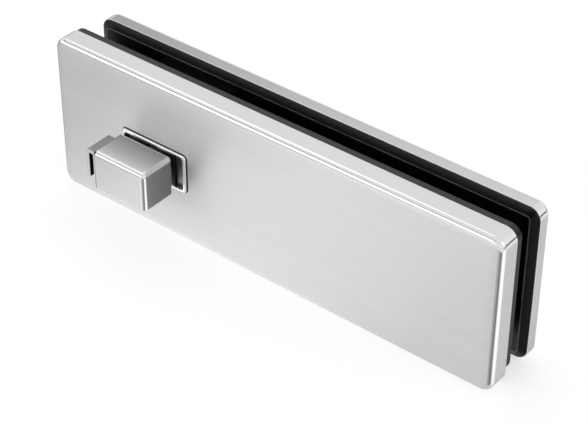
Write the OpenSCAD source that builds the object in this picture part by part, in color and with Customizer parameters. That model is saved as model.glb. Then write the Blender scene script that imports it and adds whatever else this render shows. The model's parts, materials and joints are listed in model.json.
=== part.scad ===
// Floor lock for a frameless glass door.
// Two brushed covers clamp the glass between rubber pads. A thumb turn on the
// front drives a pinion, and the pinion drops a round bolt into the floor.
// X runs along the door, Y from the front to the rear, Z up.
// The origin is on the bolt's axis, midway between the pads, at the lower edge.

/* [Covers] */
// Length of the covers
length = 220; // [200:1:300]
// Height of the covers
height = 72; // [69:1:90]
// Depth of the front cover from its face to its rim
cover_depth = 10; // [9.2:0.1:13]
// Depth of the rear cover from its face to its rim
rear_depth = 7; // [6.8:0.1:10]
// Distance that the rear cover starts inside the front one, at the left end
rear_short = 4; // [0:0.5:6]
// Thickness of the cover sheet
sheet = 1.2; // [0.8:0.1:1.3]
// Corner radius of the covers seen from the front
corner_r = 5.4; // [3:0.2:6.4]
// Outer radius of the folded edges
fold_r = 2.6; // [1.5:0.1:3]

/* [Glass] */
// Gap between the pads, for the glass
glass_t = 10; // [8:0.5:12]
// Height that the front pad stands out of its cover
front_pad_t = 3.5; // [3:0.25:5]
// Height that the rear pad stands out of its cover
rear_pad_t = 1.5; // [1:0.1:3]
// Distance from each cover's outline to its pad's
pad_inset = 0.4; // [0.2:0.1:1]
// Width of the rear pad's sloping edge
pad_bevel = 3.3; // [2:0.1:4.5]
// Height of the front pad's lower edge above the cover's lower edge
pad_foot = 3.6; // [2:0.2:6]

/* [Thumb turn] */
// Distance from the left end of the covers to the turn's axis
turn_from_end = 54; // [54:0.5:90]
// Height of the turn's axis
turn_z = 34.5; // [33:0.5:36]
// Width of the block
block_w = 26.5; // [24:0.5:34]
// Height of the block
block_h = 19; // [17:0.5:22]
// Depth of the block
block_d = 17.6; // [14:0.2:24]
// Gap from the cover's face to the back of the block
block_gap = 3.8; // [3.4:0.2:9]
// Radius of the block's edges, all but those at the tab
block_r = 2; // [0.8:0.1:2.4]
// Radius of the neck behind the block
neck_r = 6.5; // [6:0.25:7]
// Side of the square spindle
spindle_side = 6; // [5:0.25:6.5]
// Length of spindle inside the block
spindle_grip = 9; // [6:0.5:11]

/* [Finger tab] */
// Distance that the tab reaches out from the block
tab_reach = 4.4; // [4.4:0.2:9]
// Thickness of the tab's outer leg
tab_leg_t = 1.6; // [1.4:0.1:2.6]
// Thickness of the tab's web
tab_web_t = 1.4; // [1:0.1:2]
// Thickness of the leg that is riveted to the block
tab_lug_t = 0.7; // [0.5:0.1:1]
// Height of the outer leg
tab_drop = 13.2; // [10:0.2:16]
// Height of the riveted leg
tab_lug_drop = 12; // [8:0.5:15]
// Depth of the tab, back from the block's face
tab_depth = 12.8; // [9:0.2:14]
// Radius of the tab's outer bend
tab_bend_r = 1; // [0.4:0.1:1.2]
// Radius of the rivets
rivet_r = 1; // [0.7:0.1:1.2]

/* [Escutcheon] */
// Width of the rim
rim_w = 34; // [33:0.5:44]
// Height of the rim
rim_h = 18; // [18:0.5:24]
// Distance that the rim stands out of the cover
rim_proud = 1.2; // [1:0.1:3]
// Distance that the rim laps over the cover
rim_lap = 1; // [0.6:0.1:1.4]
// Width of the rim's flat top
rim_top_w = 1.5; // [1.2:0.1:1.8]
// Corner radius of the rim
rim_r = 1.5; // [0.8:0.1:2.4]
// Thickness of the floor at each end of the frame
floor_t = 1.7; // [1.6:0.1:2]
// Depth of the floor under the cover's face
floor_drop = 0.6; // [0.5:0.1:1]
// Width of the floor that shows at each end
floor_strip = 4.7; // [2:0.1:5]

/* [Liner] */
// Distance from the rim's top down to the collar
collar_drop = 0.5; // [0.2:0.1:1.2]
// Thickness of the flange behind the frame
liner_t = 3.7; // [3:0.1:4]
// Distance that the flange reaches past the frame for its screws
liner_ear = 6; // [5:0.5:8]
// Radius of the liner screws
liner_screw_r = 1.5; // [1:0.1:1.5]
// Length of the liner screws under their heads
liner_screw_l = 5.5; // [4.5:0.25:6]

/* [Bolt and gear] */
// Radius of the bolt
bolt_r = 6; // [5:0.25:6.5]
// Height of the bolt's end when it is up
bolt_foot = 0.5; // [0:0.1:1]
// Module of the rack and the pinion
tooth_module = 1.25; // [1:0.05:1.3]
// Number of teeth of the pinion
pinion_teeth = 16; // [14:1:17]
// Distance from the bolt's axis to the rack's pitch line
rack_offset = 3.5; // [2.5:0.25:3.75]
// Thickness taken off each tooth flank
mesh_clear = 0.12; // [0.08:0.01:0.2]
// Width of the pinion's teeth
gear_w = 8; // [6:0.5:8]
// Radius of the pinion's hubs
hub_r = 5.5; // [5:0.1:6]
// Thickness of the bushes' walls
bush_t = 2; // [1.5:0.1:2.2]

/* [Case] */
// Thickness of the case wall beside the bolt
case_wall = 5; // [4.5:0.25:7]
// Thickness of the case wall in front of the bolt's bush
case_front = 0.3; // [0.2:0.05:0.6]
// Thickness of the case's lid
lid_t = 1.5; // [1:0.1:1.5]
// Height of the case's lower edge
case_foot = 1.5; // [1.2:0.1:2.5]
// Wall of the bolt's bush
bolt_bush_t = 1.15; // [0.8:0.05:1.3]
// Height of the bolt's bush
bolt_bush_h = 9; // [6:0.5:12]
// Radius of the lid screws
lid_screw_r = 1.25; // [1:0.05:1.4]
// Radius of the screws that hold the case
case_screw_r = 2; // [1.5:0.1:2.2]
// Distance of the case's screws to the right of the turn's axis
case_screw_side = 3.5; // [2:0.25:5]
// Height of the lower case screw above the case's lower edge
case_screw_low = 8; // [7:0.5:10]
// Distance of the upper case screw below the case's top
case_screw_high = 6; // [5:0.25:7]

/* [Fasteners] */
// Radius of the clamp screws
clamp_r = 3; // [2.5:0.25:3.5]
// Height of the clamp screws
clamp_z = 15; // [13:0.5:17]
// Distance from each end to the outer clamp screws
clamp_from_end = 16; // [12:0.5:20]
// Number of clamp screws to the right of the case
clamp_count = 3; // [2:1:4]
// Wall of the clamp sleeves
sleeve_t = 1.8; // [1:0.1:2]
// Radius of the grub screws
grub_r = 2; // [1.5:0.1:2.2]
// Length of the grub screws that hold the covers
grub_l = 8; // [6:0.5:10]
// Distance from each end to the cover's grub screws
grub_from_end = 25; // [22:0.5:26]
// Depth of the grub screws' hexagon sockets
grub_hex_depth = 1.5; // [1:0.1:2]

/* [Clearances] */
// Gap round flat parts that drop into each other
slip = 0.15; // [0.1:0.01:0.25]
// Radial clearance of a running fit
run_clear = 0.06; // [0.02:0.01:0.1]
// Gap between parts that turn past each other
turn_clear = 0.3; // [0.2:0.05:0.5]

/* [Hidden] */
$fn = 64;

// Colours
steel = [0.80, 0.80, 0.81];
bright_steel = [0.72, 0.72, 0.74];
black_metal = [0.07, 0.07, 0.075];
rubber = [0.13, 0.13, 0.135];
brass = [0.78, 0.62, 0.32];
black_plastic = [0.05, 0.05, 0.05];

// Rack and pinion
pressure = 20;
pitch = PI * tooth_module;
pitch_r = tooth_module * pinion_teeth / 2;
base_r = pitch_r * cos(pressure);
pinion_add = 0.9 * tooth_module;
rack_add = 0.86 * tooth_module;
dedendum = 1.15 * tooth_module;
flank_steps = 5;
travel = pitch_r * PI / 2;
rack_tip_x = rack_offset + rack_add;
rack_root_x = rack_offset - dedendum;
turn_x = rack_offset + pitch_r;
teeth_below = 1;
teeth_above = ceil(travel / pitch - 0.01) + 2;
rack_low = turn_z - (teeth_below + 0.5) * pitch;
rack_high = turn_z + (teeth_above - 0.5) * pitch;
bolt_chamfer = 1;
bolt_top = rack_high;

// Outline of the covers
left = turn_x - turn_from_end;
right = left + length;
rear_left = left + rear_short;
pad_y = -glass_t / 2;
rim_y = pad_y - front_pad_t;
face_y = rim_y - cover_depth;
inner_y = face_y + sheet;
rear_rim_y = -pad_y + rear_pad_t;
rear_face_y = rear_rim_y + rear_depth;
rear_inner_y = rear_face_y - sheet;

// Case, sunk into both bodies where the bolt needs more room than the gap
chamber_r = pitch_r + pinion_add + turn_clear;
chamber_wall = 4.4;
bolt_head_room = 2.5;
case_left = -bolt_r - case_wall;
case_right = turn_x + chamber_r + chamber_wall;
case_top = bolt_top + bolt_head_room;
case_r = 2;
bore_r = bolt_r + run_clear;
bolt_bush_r = bore_r + bolt_bush_t;
case_y = min(rim_y, -bolt_bush_r - case_front - lid_t);
lid_y = case_y + lid_t;
gear_back = gear_w / 2 + turn_clear;
hub_end = -case_y - 0.1;
bush_r = hub_r + run_clear + bush_t;
front_bush_l = 3;
lid_screw_side = 2.5;
lid_screw_edge = 4;
lid_screw_x = [case_left + lid_screw_side, case_right - lid_screw_side];
lid_screw_z = [case_foot + lid_screw_edge, case_top - lid_screw_edge];
blind = 1;
lid_screw_end = -case_y - 2 * blind;
case_screw_x = turn_x + case_screw_side;
case_screw_z = [case_foot + case_screw_low, case_top - case_screw_high];
case_screw_head_r = 2 * case_screw_r;
case_screw_head_t = 1.1 * case_screw_r;
case_screw_end = rear_inner_y - blind;
hole_tip = 0.5;

// Escutcheon and liner
rim_top_y = face_y - rim_proud;
skirt_w = rim_w - 2 * rim_lap;
skirt_h = rim_h - 2 * rim_lap;
well_w = rim_w - 2 * rim_top_w;
well_h = rim_h - 2 * rim_top_w;
well_r = 1;
rim_round = rim_top_w / 3;
floor_y = face_y + floor_drop;
floor_back = floor_y + floor_t;
collar_w = well_w - 2 * floor_strip;
collar_h = well_h - 2 * slip;
collar_r = 0.4;
collar_y = rim_top_y + collar_drop;
liner_back = floor_back + liner_t;
liner_w = skirt_w + 2 * liner_ear;
liner_h = skirt_h;
liner_screw_x = skirt_w / 2 + liner_ear / 2;
liner_head_r = liner_screw_r + 1;
liner_head_t = 1;

// Thumb turn
block_back = face_y - block_gap;
block_front = block_back - block_d;
neck_end = case_y - turn_clear;
socket_end = block_back - spindle_grip;
square_clear = 0.05;
clip_t = 0.9;
clip_y = liner_back + 0.1;
clip_groove_r = neck_r - 0.8;
clip_r = neck_r + 2;
ring_y = liner_back - liner_t / 2;
ring_r = 0.45;
ring_centre_r = neck_r + run_clear - ring_r - 0.02;
clip_hole_r = clip_r + 1;
set_screw_y = block_back - spindle_grip / 2;
set_screw_sink = 0.3;
tab_x = -block_w / 2 - tab_reach;
tab_gap = tab_reach - tab_leg_t - tab_lug_t;
rivet_head_t = 0.5;
rivet_head_r = rivet_r + 0.6;
rivet_l = 4;
rivet_y = [block_front + tab_depth * 0.3, block_front + tab_depth * 0.72];
rivet_z = block_h / 2 - tab_lug_drop / 2 - tab_web_t / 2;

// Fasteners
clamp_head_r = 2 * clamp_r;
clamp_head_t = clamp_r;
clamp_end = rear_inner_y - blind;
clamp_gap = 0.2;
clamp_from_case = 24;
clamp_first = case_right + clamp_from_case;
clamp_last = right - clamp_from_end;
clamp_right = [
    for (i = [0 : clamp_count - 1])
        clamp_first + i * (clamp_last - clamp_first) / (clamp_count - 1)
];
clamp_x = concat([left + clamp_from_end], clamp_right);
sleeve_r = clamp_r + clamp_gap + sleeve_t;
grub_x = [left + grub_from_end, right - grub_from_end];
front_grub_y = (inner_y + rim_y) / 2;
rear_grub_y = (rear_inner_y + rear_rim_y) / 2;
grub_sink = 0.3;
grub_hex_r = 0.6 * grub_r;
clamp_hex_r = 0.7 * clamp_r;
clamp_hex_depth = 0.8 * clamp_r;
thread_clear = 0.05;

// Extrudes an outline drawn in X and Z from y0 back to y1.
module slab(y0, y1) {
    translate([0, y1, 0])
        rotate([90, 0, 0])
            linear_extrude(y1 - y0)
                children();
}

// A round bar along Y.
module bar(x, z, r, y0, y1) {
    translate([x, y1, z])
        rotate([90, 0, 0])
            cylinder(r = r, h = y1 - y0);
}

// A countersunk screw along Y, with its head at y0.
module sunk_screw(x, z, r, head_r, head_t, y0, y1) {
    translate([x, y0, z])
        rotate([-90, 0, 0])
            rotate_extrude()
                polygon([[0, 0], [head_r, 0], [r, head_t], [r, y1 - y0], [0, y1 - y0]]);
}

// A rectangle from one corner to the other, with round corners.
module round_rect(x0, x1, z0, z1, r) {
    translate([x0 + r, z0])
        square([x1 - x0 - 2 * r, z1 - z0]);
    translate([x0, z0 + r])
        square([x1 - x0, z1 - z0 - 2 * r]);
    for (x = [x0 + r, x1 - r]) {
        for (z = [z0 + r, z1 - r]) {
            translate([x, z])
                circle(r = r);
        }
    }
}

// A rectangle centred on its own origin, with round corners.
module centred_rect(w, h, r) {
    round_rect(-w / 2, w / 2, -h / 2, h / 2, r);
}

// An outline whose two corners at y = 0 are round.
module nosed_rect(x0, x1, depth, r) {
    translate([x0, r])
        square([x1 - x0, depth - r]);
    translate([x0 + r, 0])
        square([x1 - x0 - 2 * r, depth]);
    for (x = [x0 + r, x1 - r]) {
        translate([x, r])
            circle(r = r);
    }
}

// A flat block whose edges slope in from the back, at y1, to the front, at y0.
module bevelled_block(x0, x1, z0, z1, y0, y1, bevel, r_corner) {
    intersection() {
        slab(y0, y1)
            round_rect(x0, x1, z0, z1, r_corner);
        translate([0, 0, z0 - 1])
            linear_extrude(z1 - z0 + 2)
                polygon([[x0, y1], [x0 + bevel, y0], [x1 - bevel, y0], [x1, y1]]);
        translate([x0 - 1, 0, 0])
            rotate([90, 0, 90])
                linear_extrude(x1 - x0 + 2)
                    polygon([[y1, z0], [y0, z0 + bevel], [y0, z1 - bevel], [y1, z1]]);
    }
}

// The outside of a folded tray: face at y0, open rim at y0 + depth.
module tray_block(x0, x1, z0, z1, y0, depth, r_corner, r_fold) {
    intersection() {
        slab(y0, y0 + depth)
            round_rect(x0, x1, z0, z1, r_corner);
        translate([0, y0, z0 - 1])
            linear_extrude(z1 - z0 + 2)
                nosed_rect(x0, x1, depth, r_fold);
        translate([x0 - 1, y0, 0])
            rotate([90, 0, 90])
                linear_extrude(x1 - x0 + 2)
                    rotate(-90)
                        mirror([1, 0])
                            nosed_rect(z0, z1, depth, r_fold);
    }
}

// One cover with its rim at y = 0 and its face towards the front.
module cover_tray(x0, depth) {
    difference() {
        tray_block(x0, right, 0, height, -depth, depth, corner_r, fold_r);
        tray_block(x0 + sheet, right - sheet, sheet, height - sheet, sheet - depth,
            depth, corner_r - sheet, fold_r - sheet);
        for (x = grub_x) {
            translate([x, (sheet - depth) / 2, -1])
                cylinder(r = grub_r + turn_clear, h = sheet + 2);
        }
    }
}

// Room for the bolt in a cover's lower wall, where the glass is thin.
module bolt_way() {
    translate([0, 0, -1])
        cylinder(r = bore_r + turn_clear, h = sheet + 2);
}

// The plate that fills a cover, with its rim at y = 0, and its grub screws' holes.
module body_plate(x0, depth) {
    edge = sheet + slip;
    difference() {
        tray_block(x0 + edge, right - edge, edge, height - edge, sheet - depth,
            depth - sheet, corner_r - sheet, fold_r - sheet);
        for (x = grub_x) {
            translate([x, (sheet - depth) / 2, 0])
                cylinder(r = grub_r + thread_clear, h = grub_l + grub_sink + 1);
        }
    }
}

// The outline of the lock case, grown by a gap, with its foot at z0.
module case_outline(gap, z0) {
    round_rect(case_left - gap, case_right + gap, z0 - gap, case_top + gap, case_r);
}

// What is cut from both pads: the notch for the case, and the sleeves' holes.
module pad_cuts(y0, y1) {
    slab(y0, y1)
        case_outline(2 * slip, -case_r);
    for (x = clamp_x) {
        bar(x, clamp_z, sleeve_r + turn_clear, y0, y1);
    }
}

module front_cover() {
    color(steel)
        difference() {
            translate([0, rim_y, 0])
                cover_tray(left, cover_depth);
            slab(face_y - 1, inner_y + 1)
                translate([turn_x, turn_z])
                    centred_rect(skirt_w + 2 * slip, skirt_h + 2 * slip, well_r);
            bolt_way();
        }
}

module rear_cover() {
    color(steel)
        difference() {
            translate([0, rear_rim_y, 0])
                mirror([0, 1, 0])
                    cover_tray(rear_left, rear_depth);
            bolt_way();
        }
}

module front_body() {
    color(black_metal)
        difference() {
            translate([0, rim_y, 0])
                body_plate(left, cover_depth);
            slab(case_y, rim_y + 1)
                case_outline(slip, case_foot);
            slab(inner_y - 1, liner_back)
                translate([turn_x, turn_z])
                    centred_rect(liner_w + 2 * slip, liner_h + 2 * slip, well_r);
            bar(turn_x, turn_z, clip_hole_r, liner_back - 1, rim_y + 1);
            for (side = [-1, 1]) {
                bar(turn_x + side * liner_screw_x, turn_z, liner_screw_r + thread_clear,
                    liner_back - 1, rim_y + 1);
            }
            for (x = clamp_x) {
                bar(x, clamp_z, clamp_r + clamp_gap, inner_y - 1, rim_y + 1);
                sunk_screw(x, clamp_z, clamp_r + clamp_gap, clamp_head_r + clamp_gap,
                    clamp_head_t, inner_y, rim_y);
            }
        }
}

module rear_body() {
    color(black_metal)
        difference() {
            translate([0, rear_rim_y, 0])
                mirror([0, 1, 0])
                    body_plate(rear_left, rear_depth);
            slab(rear_rim_y - 1, -case_y)
                case_outline(slip, case_foot);
            for (x = clamp_x) {
                bar(x, clamp_z, clamp_r + thread_clear, rear_rim_y - 1, clamp_end + hole_tip);
            }
            for (z = case_screw_z) {
                bar(case_screw_x, z, case_screw_r + thread_clear, -case_y - 1,
                    case_screw_end + hole_tip);
            }
        }
}

module front_gasket() {
    color(rubber)
        difference() {
            slab(rim_y, pad_y)
                round_rect(left + pad_inset, right - pad_inset, pad_foot, height - pad_inset,
                    corner_r - pad_inset);
            pad_cuts(rim_y - 1, pad_y + 1);
        }
}

module rear_gasket() {
    color(rubber)
        difference() {
            bevelled_block(rear_left + pad_inset, right - pad_inset, pad_inset, height - pad_inset,
                -pad_y, rear_rim_y, pad_bevel, corner_r - pad_inset);
            pad_cuts(-pad_y - 1, rear_rim_y + 1);
        }
}

module lock_case() {
    color(bright_steel)
        difference() {
            slab(lid_y, -case_y)
                case_outline(0, case_foot);
            translate([0, 0, case_foot - 1])
                cylinder(r = bore_r, h = case_top - case_foot - 1);
            translate([0, 0, case_foot - 1])
                cylinder(r = bolt_bush_r + thread_clear, h = bolt_bush_h + 1);
            bar(turn_x, turn_z, chamber_r, lid_y - 1, gear_back);
            bar(turn_x, turn_z, bush_r + thread_clear, gear_back - 1, -case_y + 1);
            for (x = lid_screw_x) {
                for (z = lid_screw_z) {
                    bar(x, z, lid_screw_r + thread_clear, lid_y - 1, lid_screw_end);
                }
            }
            for (z = case_screw_z) {
                sunk_screw(case_screw_x, z, case_screw_r + clamp_gap,
                    case_screw_head_r + clamp_gap, case_screw_head_t, lid_y, -case_y + 1);
            }
        }
}

module case_lid() {
    color(bright_steel)
        difference() {
            slab(case_y, lid_y)
                case_outline(0, case_foot);
            bar(turn_x, turn_z, bush_r + thread_clear, case_y - 1, lid_y + 1);
            for (x = lid_screw_x) {
                for (z = lid_screw_z) {
                    sunk_screw(x, z, lid_screw_r + thread_clear, 2 * lid_screw_r + thread_clear,
                        lid_screw_r, case_y, lid_y + 1);
                }
            }
        }
}

module case_lid_screws() {
    color(bright_steel)
        for (x = lid_screw_x) {
            for (z = lid_screw_z) {
                sunk_screw(x, z, lid_screw_r, 2 * lid_screw_r, lid_screw_r, case_y,
                    lid_screw_end - hole_tip);
            }
        }
}

module case_screws() {
    color(bright_steel)
        for (z = case_screw_z) {
            sunk_screw(case_screw_x, z, case_screw_r, case_screw_head_r, case_screw_head_t,
                lid_y, case_screw_end);
        }
}

// The bolt's round bar, with both ends chamfered.
module bolt_bar() {
    rotate_extrude()
        polygon([
            [0, bolt_foot],
            [bolt_r - bolt_chamfer, bolt_foot],
            [bolt_r, bolt_foot + bolt_chamfer],
            [bolt_r, bolt_top - bolt_chamfer],
            [bolt_r - bolt_chamfer, bolt_top],
            [0, bolt_top]
        ]);
}

// The gap between two rack teeth, centred on z.
module rack_gap(z) {
    slope = tan(pressure);
    half = pitch / 4 + mesh_clear;
    reach = bolt_r + 1 - rack_offset;
    slab(-bolt_r - 1, bolt_r + 1)
        polygon([
            [rack_root_x, z - half + dedendum * slope],
            [rack_offset + reach, z - half - reach * slope],
            [rack_offset + reach, z + half + reach * slope],
            [rack_root_x, z + half - dedendum * slope]
        ]);
}

module bolt() {
    color(bright_steel)
        difference() {
            bolt_bar();
            translate([rack_tip_x, -bolt_r - 1, rack_low])
                cube([bolt_r, 2 * bolt_r + 2, bolt_top - rack_low + 1]);
            for (i = [-teeth_below - 1 : teeth_above - 1]) {
                rack_gap(turn_z + (i + 0.5) * pitch);
            }
        }
}

module bolt_bush() {
    color(brass)
        difference() {
            translate([0, 0, case_foot])
                cylinder(r = bolt_bush_r, h = bolt_bush_h - slip);
            translate([0, 0, case_foot - 1])
                cylinder(r = bore_r, h = bolt_bush_h + 2);
        }
}

// Involute of an angle, in degrees.
function involute(a) = tan(a) * 180 / PI - a;
// Half of a pinion tooth's angle at radius r.
function tooth_half(r) = 90 / pinion_teeth + involute(pressure) - involute(acos(base_r / r))
    - mesh_clear / pitch_r * 180 / PI;
// A point at radius r and angle a.
function polar(r, a) = [r * cos(a), r * sin(a)];

// The outline of the pinion, with a gap facing the rack.
module pinion_outline() {
    root_r = pitch_r - dedendum;
    tip_r = pitch_r + pinion_add;
    step = (tip_r - base_r) / flank_steps;
    polygon([
        for (i = [0 : pinion_teeth - 1])
            let (mid = 180 + (i + 0.5) * 360 / pinion_teeth)
                each concat(
                    [polar(root_r, mid - tooth_half(base_r))],
                    [for (k = [0 : flank_steps])
                        polar(base_r + k * step, mid - tooth_half(base_r + k * step))],
                    [for (k = [flank_steps : -1 : 0])
                        polar(base_r + k * step, mid + tooth_half(base_r + k * step))],
                    [polar(root_r, mid + tooth_half(base_r))]
                )
    ]);
}

module pinion() {
    color(bright_steel)
        difference() {
            union() {
                slab(-gear_w / 2, gear_w / 2)
                    translate([turn_x, turn_z])
                        pinion_outline();
                bar(turn_x, turn_z, hub_r, -hub_end, hub_end);
            }
            slab(-hub_end - 1, hub_end + 1)
                translate([turn_x, turn_z])
                    square(spindle_side + 2 * square_clear, center = true);
        }
}

// One ring round the pinion's hub.
module hub_bush(y0, y1) {
    difference() {
        bar(turn_x, turn_z, bush_r, y0, y1);
        bar(turn_x, turn_z, hub_r + run_clear, y0 - 1, y1 + 1);
    }
}

module pinion_bushes() {
    color(brass) {
        hub_bush(case_y, case_y + front_bush_l);
        hub_bush(gear_back, -case_y);
    }
}

module spindle() {
    color(bright_steel)
        slab(socket_end + slip, hub_end)
            translate([turn_x, turn_z])
                square(spindle_side, center = true);
}

// The block, centred on the turn's axis, with its edges rounded but for those at the tab.
module turn_block() {
    past = block_w / 2 + block_r;
    intersection() {
        slab(block_front, block_back)
            round_rect(-past, block_w / 2, -block_h / 2, block_h / 2, block_r);
        translate([0, 0, -block_h])
            linear_extrude(2 * block_h)
                round_rect(-past, block_w / 2, block_front, block_back, block_r);
        translate([-block_w / 2, 0, 0])
            rotate([90, 0, 90])
                linear_extrude(block_w + 1)
                    round_rect(block_front, block_back, -block_h / 2, block_h / 2, block_r);
    }
}

module thumb_turn() {
    color(steel)
        translate([turn_x, 0, turn_z])
            difference() {
                union() {
                    turn_block();
                    bar(0, 0, neck_r, block_back - block_r, neck_end);
                }
                slab(socket_end, neck_end + 1)
                    square(spindle_side + 2 * square_clear, center = true);
                difference() {
                    bar(0, 0, neck_r + 1, clip_y, clip_y + clip_t + 0.1);
                    bar(0, 0, clip_groove_r, clip_y - 1, clip_y + clip_t + 1);
                }
                difference() {
                    bar(0, 0, neck_r + 1, ring_y - ring_r - 0.1, ring_y + ring_r + 0.1);
                    bar(0, 0, ring_centre_r - ring_r - 0.02, ring_y - 2, ring_y + 2);
                }
                translate([0, set_screw_y, -block_h / 2 - 1])
                    cylinder(r = grub_r + thread_clear, h = block_h / 2 + 1);
                for (y = rivet_y) {
                    translate([-block_w / 2 - 1, y, rivet_z])
                        rotate([0, 90, 0])
                            cylinder(r = rivet_r + thread_clear, h = rivet_l + 1.5);
                }
            }
}

// The tab's outline: a bent strip that is open at the bottom.
module tab_outline() {
    top = block_h / 2;
    difference() {
        union() {
            translate([tab_x + tab_bend_r, top - tab_drop])
                square([tab_reach - tab_bend_r, tab_drop]);
            translate([tab_x, top - tab_drop])
                square([tab_reach, tab_drop - tab_bend_r]);
            translate([tab_x + tab_bend_r, top - tab_bend_r])
                circle(r = tab_bend_r);
        }
        translate([tab_x + tab_leg_t, top - tab_drop - 1])
            square([tab_gap, tab_drop + 1 - tab_web_t]);
        translate([tab_x + tab_leg_t, top - tab_drop - 1])
            square([tab_reach, tab_drop + 1 - tab_lug_drop]);
    }
}

module finger_tab() {
    color(steel)
        translate([turn_x, 0, turn_z])
            difference() {
                slab(block_front, block_front + tab_depth)
                    tab_outline();
                for (y = rivet_y) {
                    translate([-block_w / 2 - tab_lug_t - 1, y, rivet_z])
                        rotate([0, 90, 0])
                            cylinder(r = rivet_r + thread_clear, h = tab_lug_t + 2);
                }
            }
}

module tab_rivets() {
    color(bright_steel)
        translate([turn_x, 0, turn_z])
            for (y = rivet_y) {
                translate([-block_w / 2 - tab_lug_t - rivet_head_t, y, rivet_z])
                    rotate([0, 90, 0]) {
                        cylinder(r = rivet_head_r, h = rivet_head_t);
                        cylinder(r = rivet_r, h = rivet_head_t + tab_lug_t + rivet_l);
                    }
            }
}

module turn_set_screw() {
    foot = turn_z - block_h / 2 + set_screw_sink;
    color(bright_steel)
        translate([turn_x, set_screw_y, foot])
            difference() {
                cylinder(r = grub_r, h = turn_z - spindle_side / 2 - foot - thread_clear);
                translate([0, 0, -1])
                    cylinder(r = grub_hex_r, h = grub_hex_depth + 1, $fn = 6);
            }
}

module neck_circlip() {
    color(bright_steel)
        difference() {
            bar(turn_x, turn_z, clip_r, clip_y + 0.05, clip_y + 0.05 + clip_t);
            bar(turn_x, turn_z, clip_groove_r + 0.02, clip_y - 1, clip_y + clip_t + 1);
            translate([turn_x - 1, clip_y - 1, turn_z])
                cube([2, clip_t + 2, clip_r + 1]);
        }
}

module neck_o_ring() {
    color(rubber)
        translate([turn_x, ring_y, turn_z])
            rotate([90, 0, 0])
                rotate_extrude()
                    translate([ring_centre_r, 0])
                        circle(r = ring_r, $fn = 24);
}

module escutcheon() {
    color(steel)
        translate([turn_x, 0, turn_z])
            difference() {
                union() {
                    intersection() {
                        slab(rim_top_y, face_y)
                            centred_rect(rim_w, rim_h, rim_r);
                        translate([0, rim_top_y, -rim_h])
                            linear_extrude(2 * rim_h)
                                nosed_rect(-rim_w / 2, rim_w / 2, rim_proud, rim_round);
                        translate([-rim_w, rim_top_y, 0])
                            rotate([90, 0, 90])
                                linear_extrude(2 * rim_w)
                                    rotate(-90)
                                        mirror([1, 0])
                                            nosed_rect(-rim_h / 2, rim_h / 2, rim_proud,
                                                rim_round);
                    }
                    slab(face_y - rim_proud / 2, floor_back)
                        centred_rect(skirt_w, skirt_h, well_r);
                }
                slab(rim_top_y - 1, floor_y)
                    centred_rect(well_w, well_h, well_r);
                slab(floor_y - 1, floor_back + 1)
                    centred_rect(collar_w + 2 * slip, well_h, collar_r);
            }
}

module turn_liner() {
    color(black_plastic)
        translate([turn_x, 0, turn_z])
            difference() {
                union() {
                    slab(collar_y, floor_back + 1)
                        centred_rect(collar_w, collar_h, collar_r);
                    slab(floor_back, liner_back)
                        centred_rect(liner_w, liner_h, well_r);
                }
                bar(0, 0, neck_r + run_clear, collar_y - 1, liner_back + 1);
                for (side = [-1, 1]) {
                    bar(side * liner_screw_x, 0, liner_screw_r + clamp_gap, floor_back - 1,
                        liner_back + 1);
                }
            }
}

module liner_screws() {
    color(bright_steel)
        for (side = [-1, 1]) {
            bar(turn_x + side * liner_screw_x, turn_z, liner_head_r, floor_back - liner_head_t,
                floor_back);
            bar(turn_x + side * liner_screw_x, turn_z, liner_screw_r, floor_back,
                floor_back + liner_screw_l);
        }
}

module clamp_screws() {
    color(bright_steel)
        for (x = clamp_x) {
            difference() {
                sunk_screw(x, clamp_z, clamp_r, clamp_head_r, clamp_head_t, inner_y, clamp_end);
                slab(inner_y - 1, inner_y + clamp_hex_depth)
                    translate([x, clamp_z])
                        circle(r = clamp_hex_r, $fn = 6);
            }
        }
}

module clamp_sleeves() {
    color(black_plastic)
        for (x = clamp_x) {
            difference() {
                bar(x, clamp_z, sleeve_r, rim_y, rear_rim_y);
                bar(x, clamp_z, clamp_r + clamp_gap, rim_y - 1, rear_rim_y + 1);
            }
        }
}

module cover_screws() {
    color(bright_steel)
        for (y = [front_grub_y, rear_grub_y]) {
            for (x = grub_x) {
                translate([x, y, grub_sink])
                    difference() {
                        cylinder(r = grub_r, h = grub_l);
                        translate([0, 0, -1])
                            cylinder(r = grub_hex_r, h = grub_hex_depth + 1, $fn = 6);
                    }
            }
        }
}

front_cover();
rear_cover();
front_body();
rear_body();
front_gasket();
rear_gasket();
lock_case();
case_lid();
case_lid_screws();
case_screws();
bolt();
bolt_bush();
pinion();
pinion_bushes();
spindle();
thumb_turn();
finger_tab();
tab_rivets();
turn_set_screw();
neck_circlip();
neck_o_ring();
escutcheon();
turn_liner();
liner_screws();
clamp_screws();
clamp_sleeves();
cover_screws();
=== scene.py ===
import json
import math

import bmesh
import bpy
from mathutils import Matrix, Vector


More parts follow.
